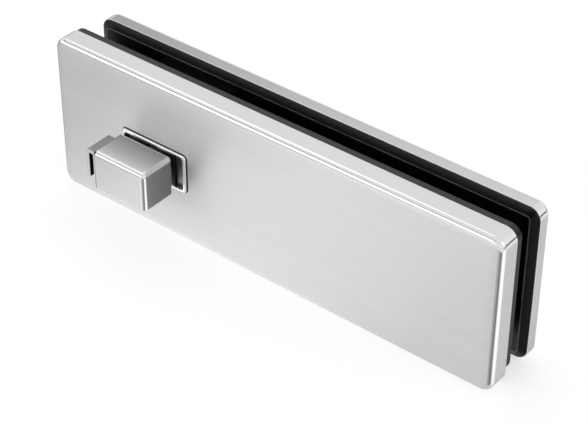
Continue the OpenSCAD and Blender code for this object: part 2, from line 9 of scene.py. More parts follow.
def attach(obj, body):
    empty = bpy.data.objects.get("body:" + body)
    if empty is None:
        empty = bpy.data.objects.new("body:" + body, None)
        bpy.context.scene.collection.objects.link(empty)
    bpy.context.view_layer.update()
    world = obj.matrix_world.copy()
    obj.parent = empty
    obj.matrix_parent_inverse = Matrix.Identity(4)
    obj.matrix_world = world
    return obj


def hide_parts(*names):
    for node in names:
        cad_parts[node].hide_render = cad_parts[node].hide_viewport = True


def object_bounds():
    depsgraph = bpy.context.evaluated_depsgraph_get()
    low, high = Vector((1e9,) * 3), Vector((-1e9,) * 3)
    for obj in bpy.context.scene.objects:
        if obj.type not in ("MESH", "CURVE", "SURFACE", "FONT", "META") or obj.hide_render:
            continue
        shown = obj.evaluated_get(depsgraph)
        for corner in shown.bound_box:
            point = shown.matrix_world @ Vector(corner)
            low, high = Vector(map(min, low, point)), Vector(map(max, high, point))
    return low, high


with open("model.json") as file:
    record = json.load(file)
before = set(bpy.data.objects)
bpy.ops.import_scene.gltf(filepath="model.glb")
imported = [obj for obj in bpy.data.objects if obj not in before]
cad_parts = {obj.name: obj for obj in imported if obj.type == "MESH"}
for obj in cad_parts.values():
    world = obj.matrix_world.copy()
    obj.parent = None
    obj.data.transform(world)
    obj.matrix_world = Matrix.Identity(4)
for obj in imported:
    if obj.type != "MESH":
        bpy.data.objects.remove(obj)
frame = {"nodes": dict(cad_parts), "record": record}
CAD_LOW, CAD_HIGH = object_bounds()
NODES = frame["nodes"]
SCENE = bpy.context.scene

# camera, fitted to the covers' straight edges in the photograph: lengths in metres, lens in millimetres
CAMERA_LENS, CAMERA_SENSOR = 115.58, 36.0
CAMERA_NEAR, CAMERA_FAR = 0.01, 20.0
CAMERA_PLACE = (0.446842, -0.473898, 0.478079)
CAMERA_RIGHT = (0.781246, 0.624206, 0.004691)
CAMERA_UP = (-0.377547, 0.46652, 0.799886)
CAMERA_BACK = (0.497105, -0.626678, 0.600134)


def make_camera():
    data = bpy.data.cameras.new("camera")
    data.sensor_width = CAMERA_SENSOR
    data.lens = CAMERA_LENS
    data.clip_start, data.clip_end = CAMERA_NEAR, CAMERA_FAR
    cam = bpy.data.objects.new("camera", data)
    SCENE.collection.objects.link(cam)
    turn = Matrix((CAMERA_RIGHT, CAMERA_UP, CAMERA_BACK)).transposed().to_4x4()
    cam.matrix_world = Matrix.Translation(CAMERA_PLACE) @ turn
    SCENE.camera = cam


def sin(degrees):
    return math.sin(math.radians(degrees))


def cos(degrees):
    return math.cos(math.radians(degrees))


# sizes from the CAD, in millimetres
MM = 0.001
LEFT, RIGHT, TOP = -40.5, 179.5, 72.0
REAR_LEFT = LEFT + 4.0
FACE, FRONT_RIM, FRONT_PAD = -18.5, -8.5, -5.0
REAR_PAD, REAR_RIM, REAR_FACE = 5.0, 6.5, 13.5
SHEET, CORNER, FOLD = 1.2, 5.4, 2.6
PAD_INSET, PAD_BEVEL, PAD_FOOT = 0.4, 3.3, 3.6
GRUB_X, GRUB_R = (LEFT + 25.0, RIGHT - 25.0), 2.3
TURN_X, TURN_Z = 13.5, 34.5
BLOCK = (26.5, 17.6, 19.0)
BLOCK_FRONT, BLOCK_BACK, BLOCK_R = -39.9, -22.3, 2.0
NECK_END = -9.31
RIM_W, RIM_H, RIM_PROUD, RIM_TOP, RIM_LAP, RIM_CORNER = 34.0, 18.0, 1.2, 1.5, 1.0, 1.5
WINDOW_GAP = 0.15
FLOOR_Y, FLOOR_BACK, FLOOR_INNER = -17.9, -16.2, 10.95
CASE_LEFT, CASE_RIGHT, CASE_TOP = -11.0, 29.33, 58.6
SLEEVE_R, CLAMP_Z, CLAMP_MARGIN, CLAMP_PAST_CASE = 5.0, 15.0, 16.0, 24.0
PAD_GAP, NOTCH_R = 0.3, 2.0
TAB_DEPTH, TAB_REACH, TAB_LEG, TAB_WEB, TAB_LUG = 12.8, 4.4, 1.6, 1.4, 0.7
TAB_DROP, TAB_LUG_DROP = 13.2, 12.0
RIVET_R, RIVET_SHARES, RIVET_REACH = 1.05, (0.3, 0.72), 4.5
SET_SCREW_Y, SET_SCREW_R, SET_SCREW_DEEP = -26.75, 2.05, 3.0

# sizes of the visible detail, in millimetres
OVERCUT = 1.0
CROWN, CROWN_ANGLE = 3.2, 8.0
CROWN_DROP = CROWN * math.tan(math.radians(CROWN_ANGLE)) / 2
CROWN_SHARES = (0.0, 0.2, 0.4, 0.6, 0.8)
FOLD_START = FOLD * (1 - sin(CROWN_ANGLE))
FOLD_ANGLES = (CROWN_ANGLE, 14, 20, 26, 32, 38, 44, 50, 56, 62, 68, 74, 80, 85, 90)
BURR, BURR_MIDDLE, BURR_INSIDE, INNER_BEND = 0.22, 0.07, 0.12, 0.6
LEAST_CORNER, LEAST_PAD_CORNER = 1.0, 1.2
PAD_ROUND, REAR_PAD_EDGE = 0.45, (0.12, 0.2)
LIP_START, LIP_NEAR = 2.2, 0.07
LIP_PROFILE = ((-0.4, 0.18), (-0.2, 0.05), (0.0, 0.0), (0.22, 0.0), (0.36, 0.06), (0.5, 0.2), (1.2, 0.2))
NECK_STEPS = 56
NECK_PROFILE = (
    (BLOCK_BACK - 1.0, 6.5), (-14.92, 6.5), (-14.9, 5.62), (-13.8, 5.62), (-13.78, 6.5), (-12.42, 6.5),
    (-12.4, 5.7), (-11.4, 5.7), (-11.38, 6.5), (NECK_END - 0.4, 6.5), (NECK_END, 6.1),
)
BLOCK_END_BEVEL, TAB_BEVEL = 0.3, 0.16
TAB_BEND, TAB_INNER_BEND = 1.0, 0.35
SEAM_INSET, SEAM_END, SEAM_DEEP, SEAM_OUT = 0.13, 1.4, 0.25, 0.2
RIM_ROUND = 0.62
FLOOR_LAP, FLOOR_CORNER = 0.2, 0.3
BLACK_RING_REACH, BLACK_RING_RISE, BLACK_RING_UNDER = 0.38, 0.2, 0.3


# mesh helpers, in millimetres
def ring(x0, x1, z0, z1, r, y, steps=12):
    """Points round a rectangle with round corners, at depth y."""
    out = []
    for cx, cz, start in ((x1 - r, z1 - r, 0), (x0 + r, z1 - r, 90), (x0 + r, z0 + r, 180), (x1 - r, z0 + r, 270)):
        for k in range(steps + 1):
            angle = start + 90 * k / steps
            out.append((cx + r * cos(angle), y, cz + r * sin(angle)))
    return out


def skin(bm, rings, cap_first=False, cap_last=False, close=False):
    """Joins rings of points with faces."""
    rows = [[bm.verts.new(Vector(p) * MM) for p in row] for row in rings]
    pairs = list(zip(rows, rows[1:]))
    if close:
        pairs.append((rows[-1], rows[0]))
    for one, two in pairs:
        n = len(one)
        for i in range(n):
            bm.faces.new((one[i], one[(i + 1) % n], two[(i + 1) % n], two[i]))
    if cap_first:
        bm.faces.new(rows[0])
    if cap_last:
        bm.faces.new(rows[-1])


def quarter(d0, y0, r, steps):
    """Points of a quarter round in a profile, about the centre (d0, y0)."""
    angles = [90 * k / steps for k in range(steps + 1)]
    return [(d0 + r * cos(a), y0 + r * sin(a)) for a in angles]


def to_object(bm, name, body, slot, *nodes, angle=32.0):
    """Makes the mesh an object with smooth shading that stands for the nodes."""
    bmesh.ops.remove_doubles(bm, verts=bm.verts, dist=1e-7)
    bmesh.ops.recalc_face_normals(bm, faces=bm.faces)
    mesh = bpy.data.meshes.new(name)
    bm.to_mesh(mesh)
    bm.free()
    obj = bpy.data.objects.new(name, mesh)
    SCENE.collection.objects.link(obj)
    for poly in mesh.polygons:
        poly.use_smooth = True
    mesh.set_sharp_from_angle(angle=math.radians(angle))
    obj.modifiers.new("normals", "WEIGHTED_NORMAL").keep_sharp = True
    mesh.materials.clear()
    mesh.materials.append(MATERIALS[slot])
    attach(obj, body)
    if nodes:
        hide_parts(*nodes)
    return obj


def cutter_box(x0, x1, y0, y1, z0, z1, r):
    """A box with round upright corners in front view, as a cutter."""
    bm = bmesh.new()
    skin(bm, [ring(x0, x1, z0, z1, r, y0, 6), ring(x0, x1, z0, z1, r, y1, 6)], True, True)
    return bm


def circle(r, steps):
    """Offsets of points round a circle."""
    angles = [2 * math.pi * k / steps for k in range(steps)]
    return [(r * math.cos(a), r * math.sin(a)) for a in angles]


def cutter_rod(start, end, r, steps=40):
    """A rod between two points, as a cutter."""
    start, end = Vector(start), Vector(end)
    turn = (end - start).to_track_quat("Z", "Y").to_matrix()
    bm = bmesh.new()
    rings = [[place + turn @ Vector((a, b, 0)) for a, b in circle(r, steps)] for place in (start, end)]
    skin(bm, rings, True, True)
    return bm


def cut(bm, cutters):
    """Takes the cutters away from a closed mesh."""
    def object_of(source, name):
        bmesh.ops.recalc_face_normals(source, faces=source.faces)
        mesh = bpy.data.meshes.new(name)
        source.to_mesh(mesh)
        source.free()
        obj = bpy.data.objects.new(name, mesh)
        SCENE.collection.objects.link(obj)
        return obj

    bmesh.ops.remove_doubles(bm, verts=bm.verts, dist=1e-7)
    base = object_of(bm, "cut_base")
    tools = []
    for i, source in enumerate(cutters):
        tool = object_of(source, f"cut_{i}")
        mod = base.modifiers.new(f"cut_{i}", "BOOLEAN")
        mod.operation, mod.solver, mod.object = "DIFFERENCE", "EXACT", tool
        tools.append(tool)
    solid = bpy.data.meshes.new_from_object(base.evaluated_get(bpy.context.evaluated_depsgraph_get()))
    out = bmesh.new()
    out.from_mesh(solid)
    for obj in [base, *tools]:
        mesh = obj.data
        bpy.data.objects.remove(obj)
        bpy.data.meshes.remove(mesh)
    bpy.data.meshes.remove(solid)
    return out


# node helpers
class Tree:
    """A node tree, with short ways to add and link its nodes."""

    curve = "LINEAR"

    def __init__(self, tree):
        self.tree = tree
        self.tree.nodes.clear()

    def add(self, kind, **values):
        node = self.tree.nodes.new(kind)
        for key, value in values.items():
            setattr(node, key, value)
        return node

    def link(self, a, b):
        self.tree.links.new(a, b)

    def put(self, value, socket):
        """Sets the socket to a number, or links an output to it."""
        if isinstance(value, (int, float)):
            socket.default_value = value
        else:
            self.link(value, socket)

    def math(self, op, *values):
        node = self.add("ShaderNodeMath", operation=op)
        for value, socket in zip(values, node.inputs):
            self.put(value, socket)
        return node.outputs[0]

    def span(self, value, low, high, to_low, to_high):
        """Maps value from low..high to to_low..to_high, clamped."""
        node = self.add("ShaderNodeMapRange", clamp=True, interpolation_type=self.curve)
        for i, number in enumerate((value, low, high, to_low, to_high)):
            self.put(number, node.inputs[i])
        return node.outputs[0]

    def mix(self, share, a, b):
        """A mix of two numbers or outputs: a where share is 0, b where it is 1."""
        node = self.add("ShaderNodeMix", data_type="FLOAT")
        for value, socket in zip((share, a, b), (node.inputs[0], node.inputs[2], node.inputs[3])):
            self.put(value, socket)
        return node.outputs[0]

    def blend(self, share, a, b):
        """A mix of two colours: a where share is 0, b where it is 1."""
        node = self.add("ShaderNodeMix", data_type="RGBA")
        self.link(share, node.inputs[0])
        for colour, socket in ((a, node.inputs[6]), (b, node.inputs[7])):
            if isinstance(colour, tuple):
                socket.default_value = (*colour, 1)
            else:
                self.link(colour, socket)
        return node.outputs[2]

    def parts(self, vector):
        """The three outputs of a vector."""
        node = self.add("ShaderNodeSeparateXYZ")
        self.link(vector, node.inputs[0])
        return node.outputs


class Nodes(Tree):
    """The node tree of one material, with its Principled shader."""

    def __init__(self, name, **values):
        self.mat = bpy.data.materials.new(name)
        self.mat.use_nodes = True
        super().__init__(self.mat.node_tree)
        self.shader = self.add("ShaderNodeBsdfPrincipled")
        self.link(self.shader.outputs[0], self.add("ShaderNodeOutputMaterial").inputs["Surface"])
        self.coord = self.add("ShaderNodeTexCoord")
        names = {"metal": "Metallic", "aniso": "Anisotropic", "aniso_turn": "Anisotropic Rotation",
                 "specular": "Specular IOR Level"}
        for key, value in values.items():
            self.shader.inputs[names[key]].default_value = value

    def noise(self, scale, detail=3.0, rough=0.55, distort=0.0):
        """Noise on object coordinates in metres, scaled per axis."""
        place = self.add("ShaderNodeMapping")
        place.inputs["Scale"].default_value = scale
        self.link(self.coord.outputs["Object"], place.inputs["Vector"])
        tex = self.add("ShaderNodeTexNoise")
        tex.inputs["Scale"].default_value = 1.0
        tex.inputs["Detail"].default_value = detail
        tex.inputs["Roughness"].default_value = rough
        tex.inputs["Distortion"].default_value = distort
        self.link(place.outputs[0], tex.inputs["Vector"])
        return tex.outputs["Fac"]

    def sum(self, a, share_a, b, share_b):
        """Two noises added in the given shares."""
        return self.math("ADD", self.math("MULTIPLY", a, share_a), self.math("MULTIPLY", b, share_b))

    def surface(self, colour, rough, height, strength, distance):
        """Links colour, roughness and bump to the shader, and gives the material."""
        self.link(colour, self.shader.inputs["Base Color"])
        self.link(rough, self.shader.inputs["Roughness"])
        node = self.add("ShaderNodeBump")
        node.inputs["Strength"].default_value = strength
        node.inputs["Distance"].default_value = distance
        self.link(height, node.inputs["Height"])
        self.link(node.outputs[0], self.shader.inputs["Normal"])
        return self.mat

    def sides(self):
        """How far the surface faces along each axis, 0 to 1."""
        parts = self.parts(self.coord.outputs["Normal"])
        return [self.math("ABSOLUTE", parts[i]) for i in range(3)]

    def facing(self, axis):
        """1 where the surface faces along the axis (0, 1 or 2), 0 elsewhere."""
        return self.span(self.sides()[axis], 0.62, 0.8, 0.0, 1.0)

    def edge_share(self):
        """0 on the flat faces, 1 on the rounded edges between them."""
        sides = self.sides()
        most = self.math("MAXIMUM", self.math("MAXIMUM", sides[0], sides[1]), sides[2])
        return self.span(most, 0.96, 0.998, 1.0, 0.0)


# materials: waves of the brushing per metre across and along it, and depths of the bumps in metres
BRUSH_ACROSS, BRUSH_ALONG = 1500.0, 26.0
METAL_BUMP, SHEET_BUMP, RUBBER_BUMP = 0.00001, 0.00002, 0.00003
# painted highlight: the colour of the rounded metal edges
EDGE_HIGHLIGHT_COLOUR = (0.84, 0.84, 0.843)
# painted light: the colour of the pads' faces that look along Z
PAD_PAINTED_LIGHT = (0.034, 0.034, 0.034)


def brushed(name, dark, light, rough, spread, edge, aniso=0.5, depth=0.2, shade=None):
    """Steel brushed along X, with a painted highlight: its rounded edges take a lighter colour; the faces that look
    along X are brushed the other way.

    shade paints shade into the colour, in place of shade that reflections give: it darkens the colour by place and
    direction.
    It has the axis that it runs along, where it starts and ends there in metres, and for each axis that faces may look
    along, the levels at that start and end.
    """
    m = Nodes(name, metal=1.0, aniso=aniso, aniso_turn=0.25)
    turned = m.facing(0)
    along = m.noise((BRUSH_ALONG, BRUSH_ACROSS, BRUSH_ACROSS), 4.0, 0.65)
    across = m.noise((BRUSH_ACROSS, 3 * BRUSH_ALONG, 0.5 * BRUSH_ACROSS), 3.0, 0.6)
    lines = m.mix(turned, along, across)
    broad = m.noise((0.25 * BRUSH_ALONG, 0.12 * BRUSH_ACROSS, 0.12 * BRUSH_ACROSS), 3.0, 0.55)
    cloud = m.noise((14.0, 14.0, 14.0), 3.0, 0.6)
    both = m.sum(lines, 0.55, broad, 0.45)
    colour = m.blend(m.span(both, 0.3, 0.7, 0.0, 1.0), dark, light)
    rounded = m.edge_share()
    # painted shade: the colour darkens by place along one axis and by the way the faces look
    if shade:
        runs, start, end, levels = shade
        place = m.parts(m.coord.outputs["Object"])[runs]
        for axis, (at_start, at_end) in levels.items():
            loss = m.math("MULTIPLY", m.facing(axis), m.span(place, start, end, 1 - at_start, 1 - at_end))
            scale = m.add("ShaderNodeVectorMath", operation="SCALE")
            m.link(colour, scale.inputs[0])
            m.link(m.math("SUBTRACT", 1.0, loss), scale.inputs["Scale"])
            colour = scale.outputs[0]
    # painted highlight: the rounded edges take the lighter edge colour
    colour = m.blend(rounded, colour, EDGE_HIGHLIGHT_COLOUR)
    flat = m.math("ADD", m.span(both, 0.3, 0.7, rough - spread, rough + spread), m.span(cloud, 0.35, 0.65, -0.02, 0.02))
    dull = m.mix(rounded, flat, m.span(both, 0.3, 0.7, edge - 0.02, edge + 0.02))
    grow = m.add("ShaderNodeCombineXYZ")
    m.link(m.math("SUBTRACT", 1.0, turned), grow.inputs[0])
    m.link(turned, grow.inputs[1])
    m.link(grow.outputs[0], m.shader.inputs["Tangent"])
    return m.surface(colour, dull, lines, depth, METAL_BUMP)


def polished(name, dark, light, rough):
    """Polished steel with faint swirls and small marks."""
    m = Nodes(name, metal=1.0)
    swirl = m.noise((420.0, 420.0, 420.0), 3.0, 0.6, 0.4)
    marks = m.noise((2400.0, 2400.0, 900.0), 2.0, 0.5)
    colour = m.blend(m.span(swirl, 0.35, 0.65, 0.0, 1.0), dark, light)
    dull = m.span(swirl, 0.35, 0.65, rough - 0.03, rough + 0.04)
    return m.surface(colour, dull, marks, 0.25, METAL_BUMP)


def ground(name, dark, light, rough, fine=(1500.0, 1500.0, 160.0)):
    """Ground or turned metal: fine lines across one axis with dull spots."""
    m = Nodes(name, metal=1.0)
    lines = m.noise(fine, 3.0, 0.6)
    spots = m.noise((180.0, 180.0, 180.0), 3.0, 0.6)
    both = m.sum(lines, 0.6, spots, 0.4)
    colour = m.blend(m.span(both, 0.32, 0.68, 0.0, 1.0), dark, light)
    dull = m.span(both, 0.32, 0.68, rough - 0.06, rough + 0.08)
    return m.surface(colour, dull, lines, 0.35, METAL_BUMP)


def soft_black(name, dark, light, rough, grain=1900.0, depth=0.5, inner=None):
    """Rubber, plastic or anodised black: fine grain, dusty patches and a faint bloom.

    inner, on the pads alone, is the roughness of the faces that look along Y; those that look along Z are lighter then,
    painted light.
    """
    m = Nodes(name, specular=0.28)
    specks = m.noise((grain, grain, grain), 3.0, 0.65)
    bloom = m.noise((60.0, 60.0, 60.0), 4.0, 0.6, 0.3)
    both = m.sum(specks, 0.45, bloom, 0.55)
    colour = m.blend(m.span(both, 0.34, 0.66, 0.0, 1.0), dark, light)
    dull = m.span(both, 0.34, 0.66, rough - 0.05, rough + 0.05)
    if inner:
        # painted light: the faces that look along Z take a lighter colour
        colour = m.blend(m.facing(2), colour, PAD_PAINTED_LIGHT)
        dull = m.mix(m.facing(1), dull, m.span(both, 0.34, 0.66, inner - 0.03, inner + 0.03))
    return m.surface(colour, dull, specks, depth, RUBBER_BUMP)


def lip_highlight_rubber(name, dark, light):
    """The pads' raised lip: rubber rubbed smooth, and lighter in colour as a painted highlight."""
    m = Nodes(name, specular=0.6)
    rub = m.noise((90.0, 900.0, 90.0), 3.0, 0.6)
    colour = m.blend(m.span(rub, 0.35, 0.65, 0.0, 1.0), dark, light)
    return m.surface(colour, m.span(rub, 0.35, 0.65, 0.3, 0.45), rub, 0.2, SHEET_BUMP)


def satin(name, dark, light, rough):
    """Pressed sheet that was never brushed: dull, with a fine mottle."""
    m = Nodes(name, metal=1.0)
    mottle = m.noise((700.0, 700.0, 700.0), 4.0, 0.6, 0.2)
    colour = m.blend(m.span(mottle, 0.35, 0.65, 0.0, 1.0), dark, light)
    dull = m.span(mottle, 0.35, 0.65, rough - 0.04, rough + 0.05)
    return m.surface(colour, dull, mottle, 0.2, SHEET_BUMP)


MATERIALS = {
    "brushed_cover": brushed("brushed_cover", (0.70, 0.70, 0.703), (0.76, 0.76, 0.763), 0.54, 0.03, 0.10,
                             aniso=0.7, depth=0.3),
    # painted shade: the turn's faces are darker, most of all its sides, top and bottom towards the back
    "brushed_turn": brushed("brushed_turn", (0.68, 0.68, 0.683), (0.73, 0.73, 0.733), 0.32, 0.03, 0.08,
                            shade=(1, -0.039, -0.024, {0: (0.56, 0.38), 1: (0.88, 0.88), 2: (0.94, 0.48)})),
    "polished_frame": polished("polished_frame", (0.88, 0.88, 0.885), (0.93, 0.93, 0.935), 0.07),
    "black_body": soft_black("black_body", (0.003, 0.003, 0.0033), (0.006, 0.006, 0.0065), 0.5, 1400.0, 0.3),
    "pad_rubber": soft_black("pad_rubber", (0.002, 0.002, 0.0022), (0.005, 0.005, 0.0053), 0.42, inner=0.25),
    "ring_rubber": soft_black("ring_rubber", (0.004, 0.004, 0.004), (0.008, 0.008, 0.008), 0.45),
    "plain_steel": ground("plain_steel", (0.42, 0.42, 0.43), (0.52, 0.52, 0.53), 0.38, (160.0, 1500.0, 1500.0)),
    "bolt_steel": ground("bolt_steel", (0.50, 0.50, 0.51), (0.60, 0.60, 0.61), 0.24),
    "fastener_steel": ground("fastener_steel", (0.44, 0.45, 0.47), (0.56, 0.57, 0.59), 0.30, (900.0, 900.0, 900.0)),
    "bush_brass": ground("bush_brass", (0.62, 0.44, 0.18), (0.74, 0.56, 0.27), 0.26, (160.0, 160.0, 1500.0)),
    "black_plastic": soft_black("black_plastic", (0.003, 0.003, 0.003), (0.006, 0.006, 0.006), 0.42, 2600.0, 0.3),
}
# painted shade: the rear cover's upper and lower faces are darker, most of all at the left
SHADED_REAR_STEEL = brushed("brushed_rear_shaded", (0.68, 0.68, 0.683), (0.73, 0.73, 0.733), 0.38, 0.03, 0.10,
                     shade=(0, -0.036, 0.18, {2: (0.52, 0.82)}))
# painted highlight: the lip rubber is much lighter than the pads
LIP = lip_highlight_rubber("pad_lip", (0.10, 0.10, 0.10), (0.20, 0.20, 0.20))
FRAME_FLOOR = satin("frame_floor", (0.30, 0.295, 0.28), (0.36, 0.355, 0.34), 0.45)
# painted shade: the tab's outer faces take this darker sheet
TAB_SHADED_SHEET = satin("tab_shaded_sheet", (0.30, 0.30, 0.303), (0.36, 0.36, 0.363), 0.34)


def dress_nodes():
    """Each CAD node takes the material of its own slot in the record."""
    slots = {part["node"]: part["material_slot"] for part in frame["record"]["subparts"]}
    for name, obj in NODES.items():
        mat = MATERIALS[slots[name]]
        if not obj.data.materials:
            obj.data.materials.append(mat)
        for place in obj.material_slots:
            place.material = mat


def dress_covers():
    """Folded covers: a rounded fold all round the face, and a sheet edge with its burr taken off."""
    for name, node, x0, face, rim in (("front_cover_skin", "front_cover", LEFT, FACE, FRONT_RIM),
                                      ("rear_cover_skin", "rear_cover", REAR_LEFT, REAR_FACE, REAR_RIM)):
        side = 1 if rim > face else -1
        profile = [(FOLD_START + CROWN * (1 - s), face + side * CROWN_DROP * s * s) for s in CROWN_SHARES]
        profile += [(FOLD - FOLD * sin(a), face + side * (CROWN_DROP + FOLD * (cos(CROWN_ANGLE) - cos(a))))
                    for a in FOLD_ANGLES]
        profile += [(0.0, rim - side * BURR), (BURR_MIDDLE, rim - side * BURR_MIDDLE), (BURR, rim)]
        profile += [(SHEET - BURR_INSIDE, rim), (SHEET, rim - side * BURR_INSIDE)]
        profile += [(SHEET, face + side * (SHEET + INNER_BEND)), (SHEET + INNER_BEND, face + side * SHEET)]
        bm = bmesh.new()
        skin(bm, [ring(x0 + d, RIGHT - d, d, TOP - d, max(CORNER - d, LEAST_CORNER), y) for d, y in profile],
             True, True)
        cutters = []
        if face == FACE:
            half_w, half_h = RIM_W / 2 - RIM_LAP + WINDOW_GAP, RIM_H / 2 - RIM_LAP + WINDOW_GAP
            cutters.append(cutter_box(TURN_X - half_w, TURN_X + half_w, face - OVERCUT, face + 3 * OVERCUT,
                                      TURN_Z - half_h, TURN_Z + half_h, LEAST_CORNER))
        middle = (face + side * SHEET + rim) / 2
        for x in GRUB_X:
            cutters.append(cutter_rod((x, middle, -OVERCUT), (x, middle, SHEET + OVERCUT), GRUB_R))
        cover = to_object(cut(bm, cutters), name, "lock_frame", "brushed_cover", node)
        if face == REAR_FACE:
            cover.data.materials[0] = SHADED_REAR_STEEL


def pad_cutters(y0, y1):
    """The notch for the case and the holes for the sleeves."""
    first = CASE_RIGHT + CLAMP_PAST_CASE
    last = RIGHT - CLAMP_MARGIN
    places = [LEFT + CLAMP_MARGIN, first, (first + last) / 2, last]
    notch = cutter_box(CASE_LEFT - PAD_GAP, CASE_RIGHT + PAD_GAP, y0, y1, -3 * OVERCUT, CASE_TOP + PAD_GAP, NOTCH_R)
    return [notch] + [cutter_rod((x, y0, CLAMP_Z), (x, y1, CLAMP_Z), SLEEVE_R + PAD_GAP) for x in places]


def make_pad(name, node, corner, profile, y0, y1, lip_y):
    """One pad from its profile; the faces of its lip, which stand highest at lip_y, get the lip rubber, lighter as a
    painted highlight.
    """
    x0, z0 = corner
    x1, z1, radius = RIGHT - PAD_INSET, TOP - PAD_INSET, CORNER - PAD_INSET
    bm = bmesh.new()
    skin(bm, [ring(x0 + d, x1 - d, z0 + d, z1 - d, max(radius - d, LEAST_PAD_CORNER), y) for d, y in profile],
         True, True)
    obj = to_object(cut(bm, pad_cutters(y0, y1)), name, "lock_frame", "pad_rubber", node, angle=25.0)
    obj.data.materials.append(LIP)
    for poly in obj.data.polygons:
        if abs(poly.center.y / MM - lip_y) < LIP_NEAR:
            poly.material_index = 1


def dress_pads():
    """Rubber pads with a fine sealing lip round the face that meets the glass."""
    start = FRONT_PAD - PAD_ROUND
    profile = [(0.0, FRONT_RIM), (0.0, start)]
    profile += [(PAD_ROUND - y, x) for y, x in quarter(0.0, start, PAD_ROUND, 5)][1:]
    profile += [(LIP_START + d, FRONT_PAD - rise) for d, rise in LIP_PROFILE]
    make_pad("front_pad", "front_gasket", (LEFT + PAD_INSET, PAD_FOOT), profile,
             FRONT_RIM - OVERCUT, FRONT_PAD + OVERCUT, FRONT_PAD)

    broken, deep = REAR_PAD_EDGE
    profile = [(0.0, REAR_RIM), (0.0, REAR_RIM - broken), (broken, REAR_RIM - deep)]
    profile += [(PAD_BEVEL + d, REAR_PAD + rise) for d, rise in LIP_PROFILE]
    make_pad("rear_pad", "rear_gasket", (REAR_LEFT + PAD_INSET, PAD_INSET), profile,
             REAR_PAD - OVERCUT, REAR_RIM + OVERCUT, REAR_PAD)


def rivet_places():
    """Depth and height of the tab's two rivets."""
    z = TURN_Z + BLOCK[2] / 2 - TAB_LUG_DROP / 2 - TAB_WEB / 2
    return [(BLOCK_FRONT + share * TAB_DEPTH, z) for share in RIVET_SHARES]


def dress_turn():
    """The block with round edges, its neck with two grooves, and its holes."""
    width, depth, height = BLOCK
    middle = Vector((TURN_X, (BLOCK_FRONT + BLOCK_BACK) / 2, TURN_Z))
    left = TURN_X - width / 2
    bm = bmesh.new()
    bmesh.ops.create_cube(bm, size=1.0)
    for v in bm.verts:
        v.co = (middle + v.co * Vector((width, depth, height))) * MM

    def on_left(edge):
        return all(abs(v.co.x - left * MM) < 1e-6 for v in edge.verts)

    round_edges = [e for e in bm.edges if not on_left(e)]
    bmesh.ops.bevel(bm, geom=round_edges, offset=BLOCK_R * MM, segments=7, profile=0.5, affect="EDGES")
    ends = [e for e in bm.edges if on_left(e) and len(e.link_faces) == 2]
    bmesh.ops.bevel(bm, geom=ends, offset=BLOCK_END_BEVEL * MM, segments=3, profile=0.5, affect="EDGES")
    cutters = [cutter_rod((TURN_X, SET_SCREW_Y, TURN_Z - height / 2 - OVERCUT),
                          (TURN_X, SET_SCREW_Y, TURN_Z - SET_SCREW_DEEP), SET_SCREW_R)]
    for y, z in rivet_places():
        cutters.append(cutter_rod((left - OVERCUT, y, z), (left + RIVET_REACH, y, z), RIVET_R))
    bm = cut(bm, cutters)
    skin(bm, [[(TURN_X + a, y, TURN_Z + b) for a, b in circle(r, NECK_STEPS)] for y, r in NECK_PROFILE], True, True)
    to_object(bm, "turn_block", "turn", "brushed_turn", "thumb_turn")


def dress_tab():
    """The finger tab: a strip bent over the block's side, with its edges broken, and the seam beside the block."""
    top, x1 = TURN_Z + BLOCK[2] / 2, TURN_X - BLOCK[0] / 2
    x0 = x1 - TAB_REACH
    bend, inner = TAB_BEND, TAB_INNER_BEND
    leg, lug, web = x0 + TAB_LEG, x1 - TAB_LUG, top - TAB_WEB
    low, high = top - TAB_DROP, top - TAB_LUG_DROP
    fine, coarse = range(0, 91, 10), range(0, 91, 18)
    points = [(x0, low), (leg, low)]
    points += [(leg + inner - inner * cos(a), web - inner + inner * sin(a)) for a in coarse]
    points += [(lug - inner + inner * sin(a), web - inner + inner * cos(a)) for a in coarse]
    points += [(lug, high), (x1, high), (x1, top)]
    points += [(x0 + bend - bend * sin(a), top - bend + bend * cos(a)) for a in fine]
    bm = bmesh.new()
    y0, y1 = BLOCK_FRONT, BLOCK_FRONT + TAB_DEPTH
    skin(bm, [[(x, y, z) for x, z in points] for y in (y0, y1)], True, True)
    bmesh.ops.recalc_face_normals(bm, faces=bm.faces)
    hard = [e for e in bm.edges if e.calc_face_angle(0.0) > math.radians(40)]
    bmesh.ops.bevel(bm, geom=hard, offset=TAB_BEVEL * MM, segments=3, profile=0.5, affect="EDGES", clamp_overlap=True)
    cutters = [cutter_rod((lug - 0.8, y, z), (x1 + 0.8, y, z), RIVET_R, 24) for y, z in rivet_places()]
    strip = to_object(cut(bm, cutters), "tab_strip", "turn", "brushed_turn", "finger_tab")

    near, foot, back = y0 + SEAM_INSET, TURN_Z - BLOCK[2] / 2 + SEAM_INSET, BLOCK_BACK - SEAM_END
    side = [(near, top - SEAM_INSET), (back, top - SEAM_INSET), (back, foot)]
    side += [(near + BLOCK_R - BLOCK_R * sin(a), foot + BLOCK_R - BLOCK_R * cos(a)) for a in fine]
    bm = bmesh.new()
    skin(bm, [[(x, y, z) for y, z in side] for x in (x1 - SEAM_DEEP, x1 + SEAM_OUT)], True, True)
    to_object(bm, "tab_seam", "turn", "black_plastic", "finger_tab")

    # the slot's walls are black, painted shade, and the outer faces are dull sheet, darker as painted shade
    strip.data.materials.append(TAB_SHADED_SHEET)
    strip.data.materials.append(MATERIALS["black_plastic"])
    margin = 0.03
    for poly in strip.data.polygons:
        x, z = poly.center.x / MM, poly.center.z / MM
        normal = poly.normal
        if leg - margin < x < lug + margin and z < web + margin and abs(normal.y) < 0.5:
            poly.material_index = 2
        elif abs(normal.y) < 0.3 and (normal.z > 0.3 or normal.x < -0.3):
            poly.material_index = 1


